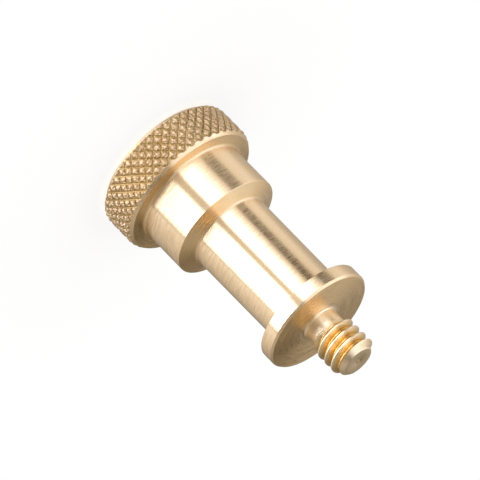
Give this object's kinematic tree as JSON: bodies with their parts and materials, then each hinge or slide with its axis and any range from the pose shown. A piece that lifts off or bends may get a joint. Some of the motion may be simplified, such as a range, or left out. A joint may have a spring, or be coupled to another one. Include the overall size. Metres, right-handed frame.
{
  "type": "tripod thread adapter",
  "caption": "Turned brass spigot with a knurled head, a necked waist and a flange that carries a male camera thread; the head has a blind tapped hole.",
  "frame": {"origin": "centre of the head's back face, which the part stands on", "axes": "+Z along the turned axis, from the knurled head to the tip of the male stud; -Y faces the camera of the picture"},
  "size_m": [0.0206, 0.0206, 0.0395],
  "materials": {
    "turned_brass": "fine turned brass, satin with bright streaks along the axis"
  },
  "bodies": {
    "root": {"adapter_body": "turned_brass"}
  },
  "joints": []
}
